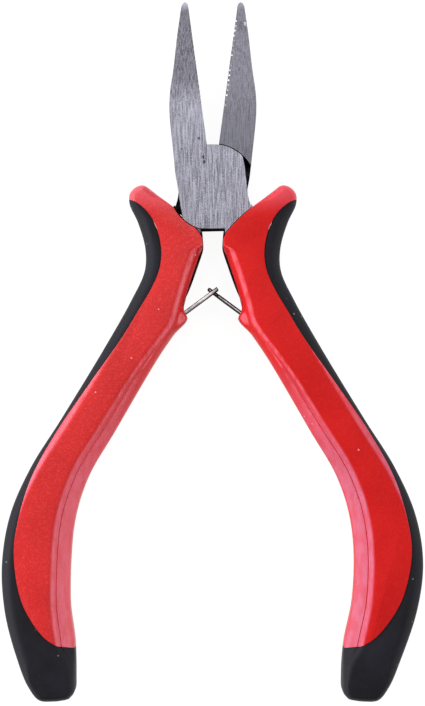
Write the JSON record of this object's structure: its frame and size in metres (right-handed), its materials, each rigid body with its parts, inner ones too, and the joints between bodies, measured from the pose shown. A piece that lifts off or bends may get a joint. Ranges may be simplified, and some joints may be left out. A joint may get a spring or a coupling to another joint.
{
  "type": "round nose pliers",
  "caption": "Small jewellery pliers with slim serrated jaws, a lap joint on a flush rivet, two-shot red and black grips and interlocking leaf return springs.",
  "frame": {"origin": "on the pivot axis, at the joint's flat back face", "axes": "+Y along the centre line towards the jaw tips, +Z along the pivot axis towards the front face, +X towards the right handle; stored open, as the springs hold it"},
  "size_m": [0.0755, 0.1253, 0.0101],
  "materials": {
    "steel": "ground flat faces, brushed along the jaws, with dark forged edges",
    "rivet": "ground flush with the joint",
    "hard_plastic": "moulded, fine grain, semi-gloss",
    "soft_rubber": "matte soft overmould",
    "spring_steel": "dark tempered strip with bright cut edges"
  },
  "bodies": {
    "front_half": {"steel_half_front": "steel", "pivot_rivet": "rivet", "grip_core_right": "hard_plastic", "overmould_right": "soft_rubber"},
    "rear_half": {"steel_half_rear": "steel", "grip_core_left": "hard_plastic", "overmould_left": "soft_rubber"},
    "spring_left": {"leaf_spring_left": "spring_steel"},
    "spring_right": {"leaf_spring_right": "spring_steel"}
  },
  "joints": [
    {"name": "main_hinge", "type": "hinge", "parent": "front_half", "child": "rear_half", "pos_m": [0, 0, 0.00425], "axis": [0, 0, 1], "range_deg": [-3, 15.2], "stiffness_Nm_per_rad": 0.6},
    {"name": "spring_left_bend", "type": "hinge", "parent": "rear_half", "child": "spring_left", "pos_m": [-0.00683, -0.02366, 0.00425], "axis": [0, 0, 1], "range_deg": [-5, 21.5]},
    {"name": "spring_right_bend", "type": "hinge", "parent": "front_half", "child": "spring_right", "pos_m": [0.00683, -0.02366, 0.00425], "axis": [0, 0, 1], "range_deg": [-21.5, 5]}
  ],
  "couplings": [
    {"joint": "spring_left_bend", "follows": "main_hinge", "ratio": 1.345},
    {"joint": "spring_right_bend", "follows": "main_hinge", "ratio": -1.345}
  ]
}
